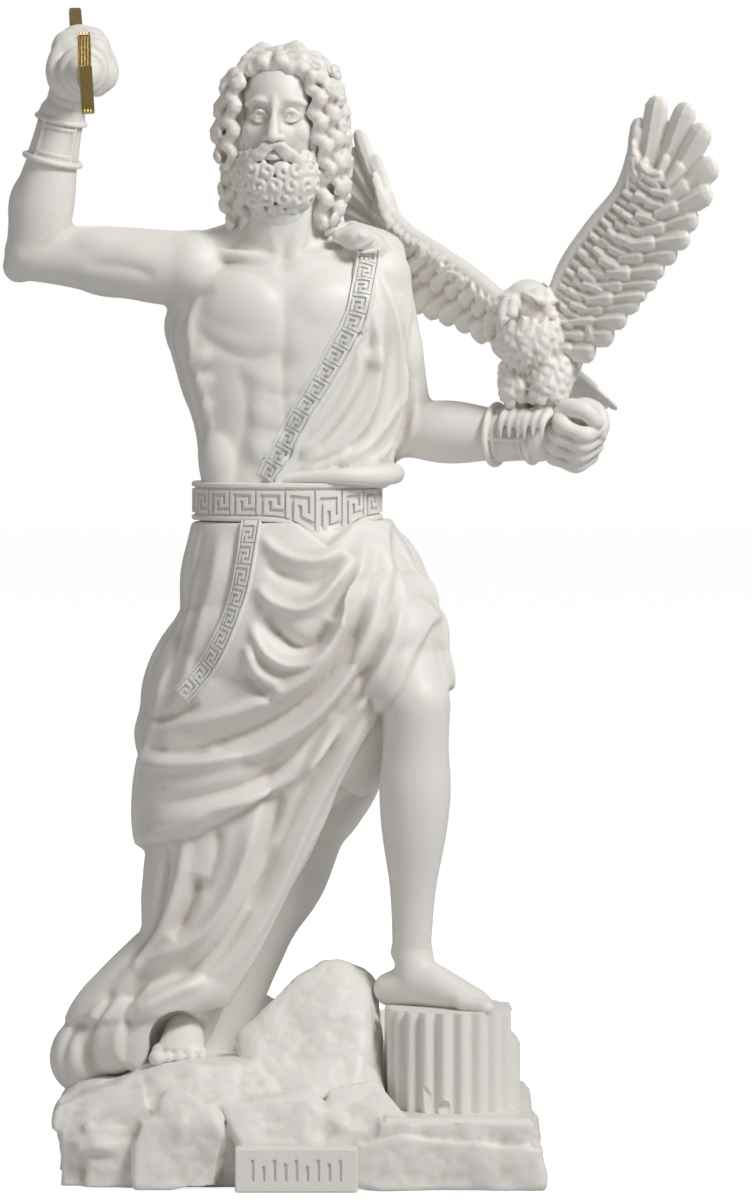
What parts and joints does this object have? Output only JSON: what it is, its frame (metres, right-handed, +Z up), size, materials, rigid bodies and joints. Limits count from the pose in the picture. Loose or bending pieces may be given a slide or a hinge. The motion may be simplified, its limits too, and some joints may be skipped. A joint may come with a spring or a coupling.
{
  "type": "classical figurine",
  "caption": "Cast alabaster figurine of a draped, bearded god with a raised gilt thunderbolt and an eagle on the forearm, on a rocky base with a fluted column stump.",
  "frame": {"origin": "middle of the base's underside, on the surface it stands on", "axes": "+Z up; the figure faces -Y; +X towards the eagle, at the viewer's right"},
  "size_m": [0.1817, 0.0853, 0.3005],
  "materials": {
    "cast_alabaster": "satin cast alabaster, warm white",
    "gilt_front": "polished gilt",
    "gilt_rear": "polished gilt"
  },
  "bodies": {
    "root": {"statue": "cast_alabaster", "bolt_front": "gilt_front", "bolt_rear": "gilt_rear"}
  },
  "joints": []
}
